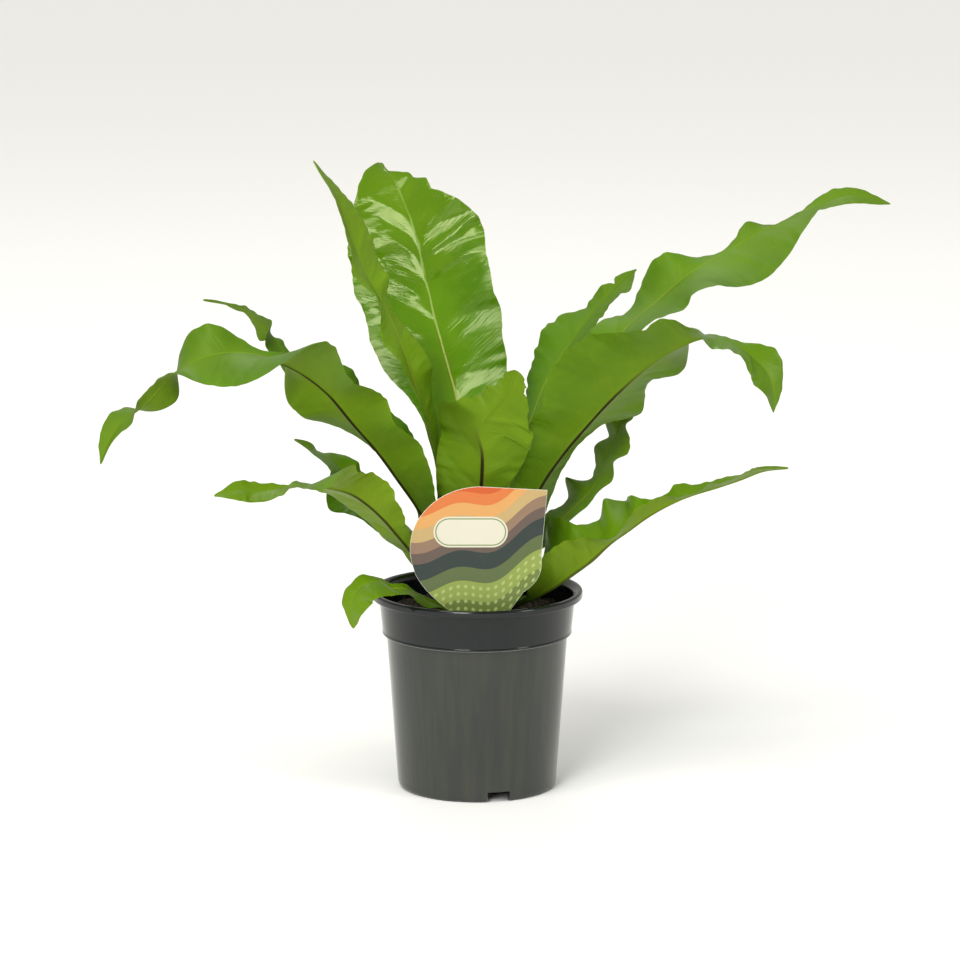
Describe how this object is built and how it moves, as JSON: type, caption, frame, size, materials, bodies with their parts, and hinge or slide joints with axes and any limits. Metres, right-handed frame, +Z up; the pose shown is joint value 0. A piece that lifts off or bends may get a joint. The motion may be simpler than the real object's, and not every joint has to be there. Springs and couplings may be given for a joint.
{
  "type": "potted fern",
  "caption": "Potted fern with long undivided wavy fronds in a rosette, in a round tapered plastic grower's pot with soil and a plain plant label.",
  "frame": {"origin": "middle of the pot's base, on the surface it stands on", "axes": "+Z up along the pot's axis, -Y towards the side with the label, +X towards the longest fronds on the right of the label side"},
  "size_m": [0.4466, 0.2632, 0.3631],
  "materials": {
    "pot_plastic": "injection-moulded dark grey plastic, semi-gloss",
    "soil": "dark peat and bark crumbs, rough and dry",
    "crown": "brown fibrous scales",
    "frond": "living leaf, glossy above and duller below, with fine parallel side veins",
    "label": "printed plastic sheet, slight sheen"
  },
  "bodies": {
    "root": {"pot": "pot_plastic", "soil": "soil", "crown": "crown", "label": "label", "frond_back_tall": "frond", "frond_left_narrow": "frond", "frond_left_arching": "frond", "frond_left_rear": "frond", "frond_left_low": "frond", "frond_left_short": "frond", "frond_over_rim": "frond", "frond_front_upright": "frond", "frond_right_arching": "frond", "frond_right_long": "frond", "frond_right_rear": "frond", "frond_right_ruffled": "frond", "frond_right_low": "frond", "frond_back_low": "frond", "frond_back_leaning": "frond"}
  },
  "joints": []
}
